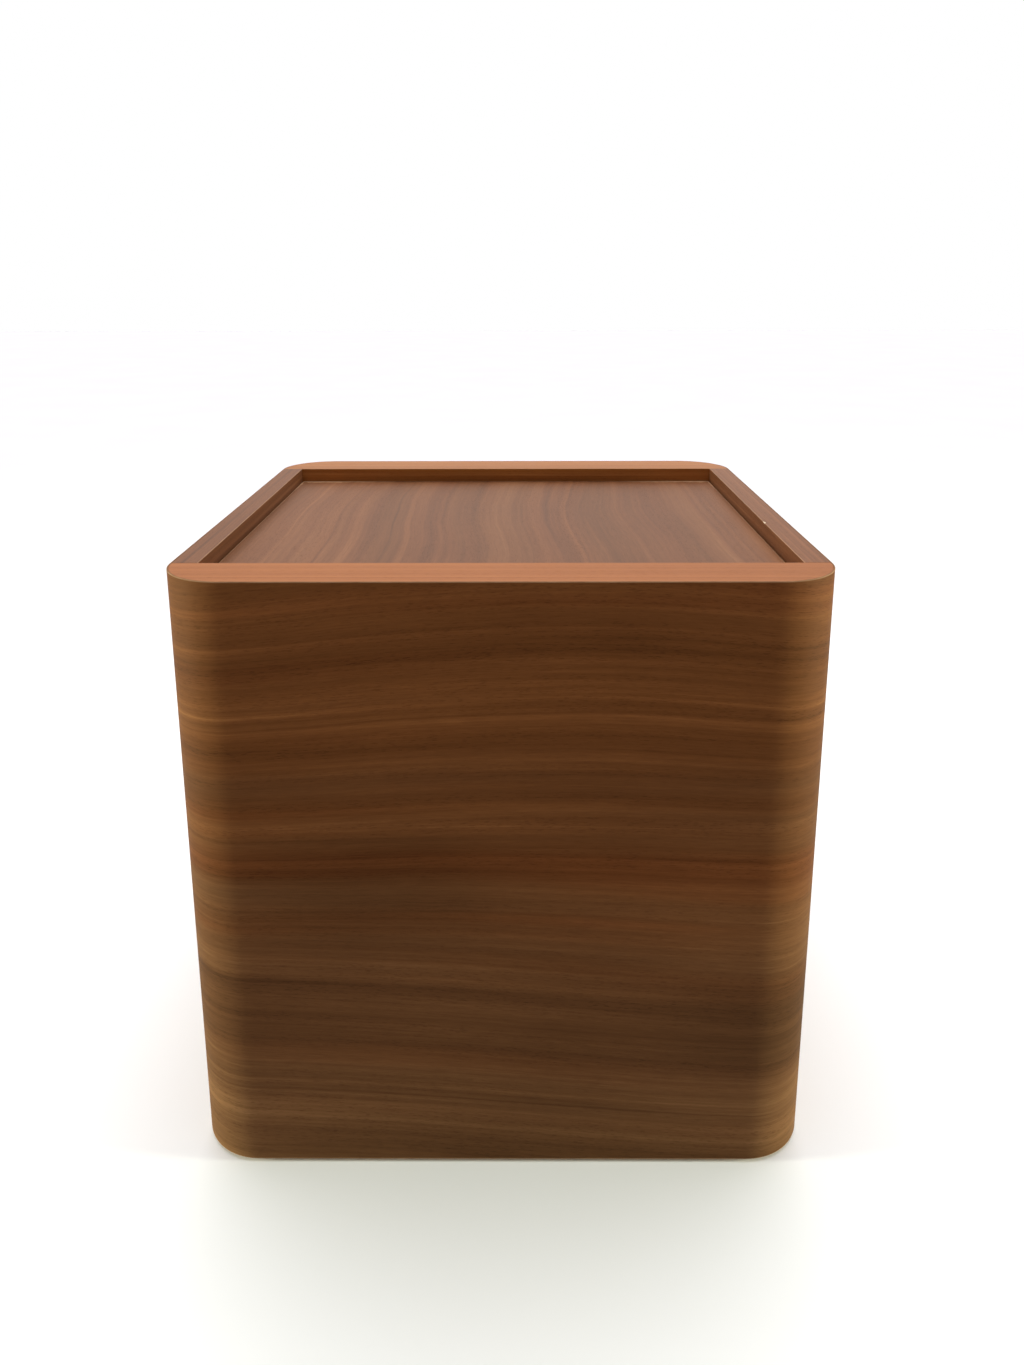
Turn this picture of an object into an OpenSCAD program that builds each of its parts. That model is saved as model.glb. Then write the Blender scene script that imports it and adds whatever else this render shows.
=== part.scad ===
// Cube storage unit: a veneered board carcass with rounded upright corners, and a
// lift-out lid that lies in a recess inside the rim of its top.
// Millimetres. Origin at the centre of the footprint on the floor, +Z up, front at -Y.

/* [Overall] */

// Width and depth of the footprint, outside the veneer
side = 450; // [380:1:520]

// Height from the floor to the top of the rim
height = 445; // [375:1:515]

// Radius of the four upright corners, outside the veneer
corner_r = 46; // [44:1:56]

/* [Carcass] */

// Thickness of the four wall boards, which is also the width of the side rim strips
board_t = 18; // [16:1:20]

// Thickness of the veneer on the walls and on both faces of the lid
veneer_t = 1; // [0.6:0.1:1.5]

// Thickness of the four rim strips
rim_t = 15; // [12:1:16]

// How far the rails behind the front and back boards reach below the lid cleats
rail_drop = 4; // [0:1:20]

// Width of the open seam in the wall veneer, at the middle of the back
seam_w = 0.3; // [0.2:0.1:0.8]

/* [Lid] */

// Depth of the lid's top face below the rim
recess = 12.5; // [10:0.5:14]

// Thickness of the lid with both veneers
lid_t = 15; // [13:1:20]

// Gap between the lid and the rim, on each side
lid_gap = 1; // [0.8:0.1:2]

// Width of the solid lipping round the lid's core
lipping_w = 3; // [2:0.5:6]

// Diameter of the finger hole in the lid
finger_d = 28; // [24:1:32]

// Distance from the lid's front edge to the middle of the finger hole
finger_inset = 25; // [25:1:40]

/* [Cleats and floor] */

// Thickness of the two side lid cleats
side_cleat_t = 15; // [14:1:18]

// Thickness of the front and back lid cleats
end_cleat_t = 12; // [10:1:12]

// Height of the lid cleats
lid_cleat_h = 22; // [18:1:26]

// Width and height of the square base cleats
base_cleat_w = 18; // [17:1:22]

// Height of the base cleats above the bottom edge of the walls
base_cleat_lift = 2; // [0:1:10]

// Thickness of the base panel
base_t = 12; // [10:1:18]

/* [Fastenings] */

// Diameter of the dowels in the corner joints
corner_dowel_d = 8; // [6:1:8]

// Depth of a corner dowel in its wall board
dowel_in_board = 22; // [18:1:26]

// Depth of a corner dowel in its post
dowel_in_post = 14; // [10:1:14]

// Diameter of the dowels under the rim strips
rim_dowel_d = 6; // [5:1:6]

// Depth of a rim dowel in its rim strip
dowel_in_rim = 8; // [6:1:9]

// Depth of a rim dowel in the wall below it
dowel_in_wall = 12; // [10:1:14]

// Diameter of a screw's shank
screw_d = 4; // [3.5:0.1:4.2]

// Diameter of a screw's countersunk head
screw_head_d = 8; // [7:0.1:8]

// Length of the screws through the rails
rail_screw_l = 40; // [35:1:41]

// Length of the screws through the lid and base cleats
cleat_screw_l = 28; // [25:1:29]

// Length of the screws through the base panel
base_screw_l = 25; // [20:1:26]

/* [Glides and bumpers] */

// Diameter of a glide
glide_d = 22; // [18:1:24]

// Height of a glide, which is the gap between the walls and the floor
glide_h = 3; // [2:0.5:6]

// Length of a glide's screw
glide_screw_l = 18; // [15:1:25]

// Diameter of a felt bumper
bumper_d = 10; // [8:1:11]

// Thickness of a felt bumper
bumper_t = 1.5; // [1:0.1:3]

/* [Hidden] */

// The four walls are one wall turned by quarter turns: front, right, back, left.
FRONT = 0;
RIGHT = 90;
BACK = 180;
LEFT = 270;

over = 1;              // how far a cutting tool runs past the face it cuts
fit_gap = 0.05;        // radial gap round dowels and screws
head_sink = 0.3;       // how far a screw's head lies below the face it is driven into

core_half = side / 2 - veneer_t;      // outer face of the boards
inner_half = core_half - board_t;     // inner face of the boards
post_c = side / 2 - corner_r;         // axis of the rounded corners, and ends of the boards
post_r = corner_r - veneer_t;
wall_mid = core_half - board_t / 2;   // middle of a board's thickness
wall_h = height - rim_t - glide_h;
rim_z = height - rim_t;

lid_top = height - recess;
lid_bottom = lid_top - lid_t;
lid_half_x = inner_half - lid_gap;
lid_half_y = post_c - lid_gap;
lid_core_t = lid_t - 2 * veneer_t;
cleat_top = lid_bottom - bumper_t;

base_cleat_z = glide_h + base_cleat_lift;
base_z = base_cleat_z + base_cleat_w;

rail_bottom = cleat_top - lid_cleat_h - rail_drop;

glide_c = post_c + 0.445 * post_r;    // keeps a glide well inside its post
glide_sink = 0.9;      // how far a glide screw's face lies above the floor

// Places along a wall, from its middle.
corner_dowel_end = 60; // distance of the outer corner dowels from the top and bottom edges
corner_dowel_z = [corner_dowel_end, wall_h / 2, wall_h - corner_dowel_end];
rim_dowel_at = post_c * [-0.84, -0.34, 0.34, 0.84];
rail_screw_at = post_c * [-0.61, 0, 0.61];
side_cleat_screw_at = post_c * [-0.78, -0.28, 0.28, 0.78];
end_cleat_screw_at = post_c * [-0.67, 0, 0.67];
base_cleat_screw_at = post_c * [-0.84, -0.28, 0.28, 0.84];
base_panel_screw_at = post_c * [-0.56, 0, 0.56];
bumper_at = post_c * [-0.61, 0.61];

rail_screw_drop = 7;   // distance of the rail screws below the rim strips
rail_screw_z = rim_z - rail_screw_drop;
lid_cleat_screw_z = cleat_top - lid_cleat_h / 2;
base_cleat_screw_z = base_cleat_z + base_cleat_w / 2;
base_panel_screw_y = inner_half - base_cleat_w / 2;

screw_head_h = (screw_head_d - screw_d) / 2;
screw_point_l = 4;     // length of a screw's tapered point
recess_w = 0.9;        // width of the cross recess's slots
recess_l = 4.4;        // length of the cross recess's slots
recess_d = 1.4;        // depth of the cross recess

wood = [0.36, 0.22, 0.13];
rim_wood = [0.76, 0.53, 0.40];
lid_wood = [0.61, 0.44, 0.36];
board_wood = [0.70, 0.58, 0.42];
ply_wood = [0.80, 0.68, 0.50];
dowel_wood = [0.85, 0.72, 0.54];
steel = [0.70, 0.70, 0.72];
nylon = [0.16, 0.15, 0.14];
felt = [0.24, 0.22, 0.20];

// A box between two corners.
module box(low, high) {
    translate(low) cube(high - low);
}

// A dowel that points along +Z, and the hole for it.
module dowel(d, l) {
    cylinder(h = l, d = d, $fn = 48);
}

module dowel_hole(d, l) {
    cylinder(h = l, d = d + 2 * fit_gap, $fn = 48);
}

// A countersunk screw driven along -Z, with its head below the face at z = 0.
module screw(l) {
    translate([0, 0, -head_sink])
        difference() {
            rotate_extrude($fn = 48)
                polygon([
                    [0, 0], [screw_head_d / 2, 0], [screw_d / 2, -screw_head_h],
                    [screw_d / 2, screw_point_l - l], [0, -l]
                ]);
            for (turn = [0, 90])
                rotate([0, 0, turn])
                    box([-recess_l / 2, -recess_w / 2, -recess_d],
                        [recess_l / 2, recess_w / 2, over]);
        }
}

// The hole for it: shank, countersink and the short straight mouth above the head.
module screw_hole(l) {
    shank_r = screw_d / 2 + fit_gap;
    head_r = screw_head_d / 2 + fit_gap;
    rotate_extrude($fn = 48)
        polygon([
            [0, over], [head_r, over], [head_r, -head_sink],
            [shank_r, -head_sink - screw_head_h], [shank_r, -head_sink - l],
            [0, -head_sink - l]
        ]);
}

// ---- Where the fastenings go; each takes the dowel, the screw or its hole as its child.

// Dowels at both ends of one wall's board, starting in the board and pointing outwards.
module at_corner_dowels(wall) {
    rotate([0, 0, wall])
        for (end = [-1, 1], z = corner_dowel_z)
            translate([end * (post_c - dowel_in_board), -wall_mid, glide_h + z])
                rotate([0, end * 90, 0])
                    children();
}

// Dowels that stand in the top edge of one wall and end in its rim strip.
module at_rim_dowels(wall) {
    rotate([0, 0, wall])
        for (x = rim_dowel_at)
            translate([x, -wall_mid, rim_z - dowel_in_wall])
                children();
}

// Screws driven outwards through one rail into its wall.
module at_rail_screws(wall) {
    rotate([0, 0, wall])
        for (x = rail_screw_at)
            translate([x, -post_c, rail_screw_z])
                rotate([-90, 0, 0])
                    children();
}

// Screws driven outwards through one lid cleat.
module at_lid_cleat_screws(wall, places, face) {
    rotate([0, 0, wall])
        for (x = places)
            translate([x, -face, lid_cleat_screw_z])
                rotate([-90, 0, 0])
                    children();
}

module at_end_cleat_screws(wall) {
    at_lid_cleat_screws(wall, end_cleat_screw_at, post_c - end_cleat_t) children();
}

module at_side_cleat_screws(wall) {
    at_lid_cleat_screws(wall, side_cleat_screw_at, inner_half - side_cleat_t) children();
}

// Screws driven outwards through one base cleat.
module at_base_cleat_screws(wall) {
    rotate([0, 0, wall])
        for (x = base_cleat_screw_at)
            translate([x, -(inner_half - base_cleat_w), base_cleat_screw_z])
                rotate([-90, 0, 0])
                    children();
}

// Screws driven down through the base panel into one base cleat.
module at_base_panel_screws(wall) {
    rotate([0, 0, wall])
        for (x = base_panel_screw_at)
            translate([x, -base_panel_screw_y, base_z + base_t])
                children();
}

// Glides, and the screws driven up through them into the posts.
module at_glides() {
    for (wall = [FRONT, RIGHT, BACK, LEFT])
        rotate([0, 0, wall])
            translate([glide_c, -glide_c, 0])
                children();
}

module at_glide_screws() {
    at_glides()
        translate([0, 0, glide_sink])
            rotate([180, 0, 0])
                children();
}

// ---- Walls

// The front, back, left or right wall board between two posts.
module board(wall) {
    color(board_wood)
        difference() {
            rotate([0, 0, wall])
                box([-post_c, -core_half, glide_h], [post_c, -inner_half, rim_z]);
            at_corner_dowels(wall) dowel_hole(corner_dowel_d, dowel_in_board + over);
            at_rim_dowels(wall) dowel_hole(rim_dowel_d, dowel_in_wall + over);
            at_base_cleat_screws(wall) screw_hole(cleat_screw_l);
            if (wall == FRONT || wall == BACK)
                at_rail_screws(wall) screw_hole(rail_screw_l);
            else
                at_side_cleat_screws(wall) screw_hole(cleat_screw_l);
        }
}

module board_front() { board(FRONT); }
module board_back() { board(BACK); }
module board_left() { board(LEFT); }
module board_right() { board(RIGHT); }

// A quarter of a disc in the front right corner, from z = low to z = high.
module quarter_disc(low, high) {
    translate([post_c, -post_c, low])
        intersection() {
            cylinder(h = high - low, r = post_r, $fn = 120);
            box([0, -corner_r, -over], [corner_r, 0, high - low + over]);
        }
}

// The corner post at the right end of one wall, as seen from outside.
module post(wall) {
    next_wall = (wall + 90) % 360;
    color(board_wood)
        difference() {
            rotate([0, 0, wall]) quarter_disc(glide_h, rim_z);
            for (w = [wall, next_wall])
                at_corner_dowels(w) dowel_hole(corner_dowel_d, dowel_in_board + dowel_in_post);
            at_glide_screws() screw_hole(glide_screw_l);
        }
}

module post_front_right() { post(FRONT); }
module post_back_right() { post(RIGHT); }
module post_back_left() { post(BACK); }
module post_front_left() { post(LEFT); }

// ---- Rim

// The front or back rim strip, which runs the full width and carries the rounded ends.
module end_rim(wall) {
    color(rim_wood)
        difference() {
            rotate([0, 0, wall]) {
                box([-post_c, -core_half, rim_z], [post_c, -post_c, height]);
                quarter_disc(rim_z, height);
                mirror([1, 0, 0]) quarter_disc(rim_z, height);
            }
            at_rim_dowels(wall) dowel_hole(rim_dowel_d, dowel_in_wall + dowel_in_rim);
        }
}

// The left or right rim strip, which butts between the two end strips.
module side_rim(wall) {
    color(rim_wood)
        difference() {
            rotate([0, 0, wall])
                box([-post_c, -core_half, rim_z], [post_c, -inner_half, height]);
            at_rim_dowels(wall) dowel_hole(rim_dowel_d, dowel_in_wall + dowel_in_rim);
        }
}

module rim_front() { end_rim(FRONT); }
module rim_back() { end_rim(BACK); }
module rim_left() { side_rim(LEFT); }
module rim_right() { side_rim(RIGHT); }

// The wall veneer, one strip wrapped round all four walls and corners.
module outer_veneer() {
    color(wood)
        difference() {
            union()
                for (wall = [FRONT, RIGHT, BACK, LEFT])
                    rotate([0, 0, wall]) {
                        box([-post_c, -side / 2, glide_h], [post_c, -core_half, height]);
                        translate([post_c, -post_c, glide_h])
                            difference() {
                                intersection() {
                                    cylinder(h = height - glide_h, r = corner_r, $fn = 120);
                                    box([0, -side / 2, -over], [side / 2, 0, height]);
                                }
                                translate([0, 0, -over])
                                    cylinder(h = height + over, r = post_r, $fn = 120);
                            }
                    }
            box([-seam_w / 2, core_half - over, 0], [seam_w / 2, side / 2 + over, height + over]);
        }
}

// ---- Rails and cleats

// The rail behind the front or back board, under the wide rim strip.
module top_rail(wall) {
    color(board_wood)
        difference() {
            rotate([0, 0, wall])
                box([-post_c, -inner_half, rail_bottom], [post_c, -post_c, rim_z]);
            at_rail_screws(wall) screw_hole(rail_screw_l);
            at_end_cleat_screws(wall) screw_hole(cleat_screw_l);
        }
}

module top_rail_front() { top_rail(FRONT); }
module top_rail_back() { top_rail(BACK); }

// The front or back lid cleat, fixed to its rail and set between the side cleats.
module end_lid_cleat(wall) {
    end_half = inner_half - side_cleat_t;
    color(ply_wood)
        difference() {
            rotate([0, 0, wall])
                box([-end_half, -post_c, cleat_top - lid_cleat_h],
                    [end_half, end_cleat_t - post_c, cleat_top]);
            at_end_cleat_screws(wall) screw_hole(cleat_screw_l);
        }
}

// The left or right lid cleat, fixed to its board between the posts.
module side_lid_cleat(wall) {
    color(ply_wood)
        difference() {
            rotate([0, 0, wall])
                box([-post_c, -inner_half, cleat_top - lid_cleat_h],
                    [post_c, side_cleat_t - inner_half, cleat_top]);
            at_side_cleat_screws(wall) screw_hole(cleat_screw_l);
        }
}

module lid_cleat_front() { end_lid_cleat(FRONT); }
module lid_cleat_back() { end_lid_cleat(BACK); }
module lid_cleat_left() { side_lid_cleat(LEFT); }
module lid_cleat_right() { side_lid_cleat(RIGHT); }

// One of the four base cleats, between the posts.
module base_cleat(wall) {
    color(ply_wood)
        difference() {
            rotate([0, 0, wall])
                box([-post_c, -inner_half, base_cleat_z],
                    [post_c, base_cleat_w - inner_half, base_z]);
            at_base_cleat_screws(wall) screw_hole(cleat_screw_l);
            at_base_panel_screws(wall) screw_hole(base_screw_l);
        }
}

module base_cleat_front() { base_cleat(FRONT); }
module base_cleat_back() { base_cleat(BACK); }
module base_cleat_left() { base_cleat(LEFT); }
module base_cleat_right() { base_cleat(RIGHT); }

// The floor of the storage well, notched round the posts.
module base_panel() {
    color(ply_wood)
        difference() {
            box([-inner_half, -inner_half, base_z], [inner_half, inner_half, base_z + base_t]);
            for (wall = [FRONT, RIGHT, BACK, LEFT]) {
                rotate([0, 0, wall])
                    box([post_c, -inner_half - over, base_z - over],
                        [inner_half + over, -post_c, base_z + base_t + over]);
                at_base_panel_screws(wall) screw_hole(base_screw_l);
            }
        }
}

// ---- Fastenings

module corner_dowels() {
    color(dowel_wood)
        for (wall = [FRONT, RIGHT, BACK, LEFT])
            at_corner_dowels(wall) dowel(corner_dowel_d, dowel_in_board + dowel_in_post);
}

module rim_dowels() {
    color(dowel_wood)
        for (wall = [FRONT, RIGHT, BACK, LEFT])
            at_rim_dowels(wall) dowel(rim_dowel_d, dowel_in_wall + dowel_in_rim);
}

module rail_screws() {
    color(steel)
        for (wall = [FRONT, BACK])
            at_rail_screws(wall) screw(rail_screw_l);
}

module lid_cleat_screws() {
    color(steel) {
        for (wall = [FRONT, BACK])
            at_end_cleat_screws(wall) screw(cleat_screw_l);
        for (wall = [RIGHT, LEFT])
            at_side_cleat_screws(wall) screw(cleat_screw_l);
    }
}

module base_cleat_screws() {
    color(steel)
        for (wall = [FRONT, RIGHT, BACK, LEFT])
            at_base_cleat_screws(wall) screw(cleat_screw_l);
}

module base_panel_screws() {
    color(steel)
        for (wall = [FRONT, RIGHT, BACK, LEFT])
            at_base_panel_screws(wall) screw(base_screw_l);
}

// ---- Glides and bumpers

module glides() {
    color(nylon)
        difference() {
            at_glides() cylinder(h = glide_h, d = glide_d, $fn = 64);
            at_glide_screws() screw_hole(glide_screw_l);
        }
}

module glide_screws() {
    color(steel)
        at_glide_screws() screw(glide_screw_l);
}

// Felt discs on the lid cleats, which the lid rests on.
module lid_bumpers() {
    color(felt) {
        for (wall = [FRONT, BACK])
            rotate([0, 0, wall])
                for (x = bumper_at)
                    translate([x, end_cleat_t / 2 - post_c, cleat_top])
                        cylinder(h = bumper_t, d = bumper_d, $fn = 48);
        for (wall = [RIGHT, LEFT])
            rotate([0, 0, wall])
                for (x = bumper_at)
                    translate([x, side_cleat_t / 2 - inner_half, cleat_top])
                        cylinder(h = bumper_t, d = bumper_d, $fn = 48);
    }
}

// ---- Lid

// The finger hole, right through the lid.
module finger_hole() {
    translate([0, finger_inset - lid_half_y, lid_bottom - over])
        cylinder(h = lid_t + 2 * over, d = finger_d, $fn = 96);
}

module lid_core() {
    core_x = lid_half_x - lipping_w;
    core_y = lid_half_y - lipping_w;
    color(board_wood)
        difference() {
            box([-core_x, -core_y, lid_bottom + veneer_t], [core_x, core_y, lid_top - veneer_t]);
            finger_hole();
        }
}

// The front and back lippings run the lid's full width.
module end_lipping(wall) {
    color(lid_wood)
        rotate([0, 0, wall])
            box([-lid_half_x, -lid_half_y, lid_bottom + veneer_t],
                [lid_half_x, lipping_w - lid_half_y, lid_top - veneer_t]);
}

// The side lippings butt between them.
module side_lipping(wall) {
    color(lid_wood)
        rotate([0, 0, wall])
            box([lipping_w - lid_half_y, -lid_half_x, lid_bottom + veneer_t],
                [lid_half_y - lipping_w, lipping_w - lid_half_x, lid_top - veneer_t]);
}

module lid_lipping_front() { end_lipping(FRONT); }
module lid_lipping_back() { end_lipping(BACK); }
module lid_lipping_left() { side_lipping(LEFT); }
module lid_lipping_right() { side_lipping(RIGHT); }

// A sheet of veneer over the whole lid, from z = low up.
module lid_veneer(low) {
    color(lid_wood)
        difference() {
            box([-lid_half_x, -lid_half_y, low], [lid_half_x, lid_half_y, low + veneer_t]);
            finger_hole();
        }
}

module lid_veneer_top() { lid_veneer(lid_top - veneer_t); }
module lid_veneer_bottom() { lid_veneer(lid_bottom); }

// ---- Nodes

board_front();
board_back();
board_left();
board_right();
post_front_left();
post_front_right();
post_back_left();
post_back_right();
rim_front();
rim_back();
rim_left();
rim_right();
outer_veneer();
top_rail_front();
top_rail_back();
lid_cleat_front();
lid_cleat_back();
lid_cleat_left();
lid_cleat_right();
base_cleat_front();
base_cleat_back();
base_cleat_left();
base_cleat_right();
base_panel();
corner_dowels();
rim_dowels();
rail_screws();
lid_cleat_screws();
base_cleat_screws();
base_panel_screws();
glides();
glide_screws();
lid_bumpers();
lid_core();
lid_lipping_front();
lid_lipping_back();
lid_lipping_left();
lid_lipping_right();
lid_veneer_top();
lid_veneer_bottom();
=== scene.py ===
import math

import bmesh
import bpy
from mathutils import Matrix, Vector


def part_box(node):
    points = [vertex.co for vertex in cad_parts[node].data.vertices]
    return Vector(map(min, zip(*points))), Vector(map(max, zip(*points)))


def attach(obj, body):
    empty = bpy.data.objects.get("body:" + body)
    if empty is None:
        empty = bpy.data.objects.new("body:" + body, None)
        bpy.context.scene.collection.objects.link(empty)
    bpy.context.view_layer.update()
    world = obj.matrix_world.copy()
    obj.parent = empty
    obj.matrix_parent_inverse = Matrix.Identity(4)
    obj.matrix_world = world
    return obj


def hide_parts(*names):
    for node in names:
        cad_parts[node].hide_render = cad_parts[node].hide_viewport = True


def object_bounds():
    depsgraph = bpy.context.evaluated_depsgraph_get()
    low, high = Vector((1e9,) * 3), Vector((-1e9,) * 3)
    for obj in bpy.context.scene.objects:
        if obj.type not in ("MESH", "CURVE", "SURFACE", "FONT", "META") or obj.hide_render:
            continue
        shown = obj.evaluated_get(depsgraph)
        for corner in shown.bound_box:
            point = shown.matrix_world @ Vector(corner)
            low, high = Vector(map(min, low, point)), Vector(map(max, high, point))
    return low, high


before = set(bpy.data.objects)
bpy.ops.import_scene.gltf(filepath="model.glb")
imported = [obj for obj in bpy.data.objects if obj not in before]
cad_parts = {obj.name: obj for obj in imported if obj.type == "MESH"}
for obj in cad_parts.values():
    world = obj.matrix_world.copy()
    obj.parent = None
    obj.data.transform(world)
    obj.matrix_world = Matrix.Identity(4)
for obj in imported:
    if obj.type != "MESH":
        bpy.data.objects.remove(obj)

CAD_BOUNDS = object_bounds()
MM = 0.001

# ---------------------------------------------------------------- sizes read from the frame

SIDE = CAD_BOUNDS[1].x - CAD_BOUNDS[0].x
TOP = CAD_BOUNDS[1].z
WALL_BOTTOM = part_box("outer_veneer")[0].z
BOARD_LOW, BOARD_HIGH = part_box("board_front")
POST_C = BOARD_HIGH.x                       # axis of the rounded corners
CORE_HALF = -BOARD_LOW.y                    # outer face of the boards
INNER_HALF = -BOARD_HIGH.y                  # inner face of the boards
CORNER_R = SIDE / 2 - POST_C
VENEER_T = SIDE / 2 - CORE_HALF
RIM_LOW, RIM_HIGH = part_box("rim_front")
RIM_BOTTOM = RIM_LOW.z
RIM_INNER = -RIM_HIGH.y                     # inner edge of the front and back rim strips
LID_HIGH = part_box("lid_veneer_top")[1]

# Length round the walls, of which each quarter holds one corner and the flats beside it.
WALL_LENGTH = 4 * (2 * POST_C) + 2 * math.pi * CORNER_R
WALL_QUARTER = WALL_LENGTH / 4
HALF_BEND = math.pi / 4 * CORNER_R

EASED_R = 0.45 * MM                         # rounding of the rim's and the wall's edges
CORNER_STEPS = 28


# ---------------------------------------------------------------- shader graphs

class Graph:
    """A material and short calls that add nodes to it."""

    def __init__(self, name):
        self.material = bpy.data.materials.new(name)
        self.material.use_nodes = True
        self.tree = self.material.node_tree
        self.tree.nodes.clear()
        self.out = self.tree.nodes.new("ShaderNodeOutputMaterial")
        self.shader = self.tree.nodes.new("ShaderNodeBsdfPrincipled")
        self.tree.links.new(self.shader.outputs["BSDF"], self.out.inputs["Surface"])

    def put(self, socket, value):
        """Links a socket to the input, or sets the input's own value."""
        if hasattr(value, "is_linked"):
            self.tree.links.new(value, socket)
        else:
            socket.default_value = value

    def add(self, kind, inputs=(), **settings):
        node = self.tree.nodes.new(kind)
        for key, value in settings.items():
            setattr(node, key, value)
        for key, value in dict(inputs).items():
            self.put(node.inputs[key], value)
        return node

    def math(self, operation, *values):
        node = self.add("ShaderNodeMath", operation=operation)
        for socket, value in zip(node.inputs, values):
            self.put(socket, value)
        return node.outputs[0]

    def sum(self, *terms):
        """Each term is a number, a socket, or a pair of socket and weight."""
        total = None
        for term in terms:
            if isinstance(term, tuple):
                if total is None:
                    total = self.math("MULTIPLY", term[0], term[1])
                else:
                    total = self.math("MULTIPLY_ADD", term[0], term[1], total)
            else:
                total = term if total is None else self.math("ADD", total, term)
        return total

    def product(self, a, b):
        return self.math("MULTIPLY", a, b)

    def centred(self, value):
        """Moves a noise value from 0..1 to -0.5..0.5."""
        return self.math("SUBTRACT", value, 0.5)

    def distance(self, value, place):
        return self.math("ABSOLUTE", self.math("SUBTRACT", value, place))

    def step(self, value, low, high, top=1.0):
        """Smoothly from 0 at low to top at high."""
        node = self.add("ShaderNodeMapRange", {"Value": value, "From Min": low, "From Max": high,
                                               "To Min": 0.0, "To Max": top},
                        interpolation_type="SMOOTHSTEP")
        return node.outputs["Result"]

    def vector(self, x, y, z):
        return self.add("ShaderNodeCombineXYZ", {"X": x, "Y": y, "Z": z}).outputs[0]

    def split(self, vector):
        return self.add("ShaderNodeSeparateXYZ", {"Vector": vector}).outputs

    def noise(self, vector, scale=1.0, detail=2.0, rough=0.5):
        node = self.add("ShaderNodeTexNoise", {"Vector": vector, "Scale": scale,
                                               "Detail": detail, "Roughness": rough})
        return node.outputs["Fac"]

    def stretched(self, along, across, depth, k_along, k_across, k_depth=0.0, seed=0.0,
                  detail=2.0, rough=0.5):
        """Noise drawn out along the grain; k are its frequencies in 1/m."""
        vector = self.vector(self.math("MULTIPLY_ADD", along, k_along, seed),
                             self.product(across, k_across),
                             self.math("MULTIPLY_ADD", depth, k_depth, seed * 0.37))
        return self.noise(vector, 1.0, detail, rough)

    def ramp(self, value, stops):
        node = self.add("ShaderNodeValToRGB", {"Fac": value})
        elements = node.color_ramp.elements
        while len(elements) > 1:
            elements.remove(elements[-1])
        for index, (place, colour) in enumerate(stops):
            element = elements[0] if index == 0 else elements.new(place)
            element.position = place
            element.color = (*colour, 1.0)
        return node.outputs["Color"]

    def mix(self, factor, a, b, mode="MIX"):
        node = self.add("ShaderNodeMix", data_type="RGBA", blend_type=mode)
        node.clamp_factor = True
        self.put(node.inputs["Factor"], factor)
        for key, v in (("A", a), ("B", b)):
            socket = [s for s in node.inputs if s.name == key and s.type == "RGBA"][0]
            self.put(socket, (*v, 1.0) if isinstance(v, tuple) else v)
        return [s for s in node.outputs if s.type == "RGBA"][0]

    def tinted(self, colour, tint):
        """The colour times factors of red, green and blue."""
        return self.mix(1.0, colour, tint, "MULTIPLY")

    def bump(self, height, distance, strength):
        node = self.add("ShaderNodeBump", {"Height": height, "Distance": distance,
                                           "Strength": strength})
        self.put(self.shader.inputs["Normal"], node.outputs["Normal"])

    def surface(self, colour, roughness):
        self.put(self.shader.inputs["Base Color"], colour)
        self.put(self.shader.inputs["Roughness"], roughness)


def srgb(r, g, b):
    """A linear colour from 0-255 sRGB values."""
    def linear(c):
        c /= 255
        return c / 12.92 if c <= 0.04045 else ((c + 0.055) / 1.055) ** 2.4
    return (linear(r), linear(g), linear(b))


def object_point(g):
    return g.split(g.add("ShaderNodeTexCoord").outputs["Object"])


def uv_point(g, name):
    return g.split(g.add("ShaderNodeUVMap", uv_map=name).outputs["UV"])


# ---------------------------------------------------------------- walnut

WALNUT = [(0.14, srgb(55, 31, 14)), (0.34, srgb(71, 41, 20)), (0.50, srgb(82, 49, 25)),
          (0.66, srgb(94, 58, 31)), (0.86, srgb(115, 75, 44))]
LID_WALNUT = [(0.14, srgb(92, 56, 34)), (0.34, srgb(113, 71, 45)), (0.50, srgb(127, 81, 52)),
              (0.66, srgb(140, 92, 61)), (0.86, srgb(158, 109, 75))]
# Palette of the front and back strips: paler solid wood, and a painted sheen of grain running
# across the view that the side strips lack.
RIM_WALNUT_AND_SHEEN = [(0.14, srgb(137, 79, 41)), (0.34, srgb(159, 95, 51)), (0.50, srgb(171, 105, 59)),
              (0.66, srgb(182, 116, 68)), (0.86, srgb(198, 134, 84))]
PALE_WEAR_AND_HIGHLIGHT = srgb(206, 164, 128)
BARE_WOOD = srgb(240, 216, 186)
BLACK = (0.0, 0.0, 0.0)
LACQUER_TINT = (1.0, 0.66, 0.40, 1.0)


def growth_rings(g, place, chance):
    """Light and dark lines at the edge of each ring; place is 0 to 1 across the ring.

    Each ring grows paler, ends sharply, and starts with a thin dark line. chance is the ring's
    own random number, which makes few rings strong and fewer still dark."""
    pale = g.product(g.step(place, 0.52, 0.90), g.step(place, 1.0, 0.91))
    dark = g.product(g.step(place, 0.0, 0.06), g.step(place, 0.24, 0.06))
    strong = g.math("POWER", chance, 2.0)
    rare = g.math("POWER", chance, 4.0)
    return g.sum((g.product(pale, strong), 0.32), (g.product(dark, rare), -0.46))


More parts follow.
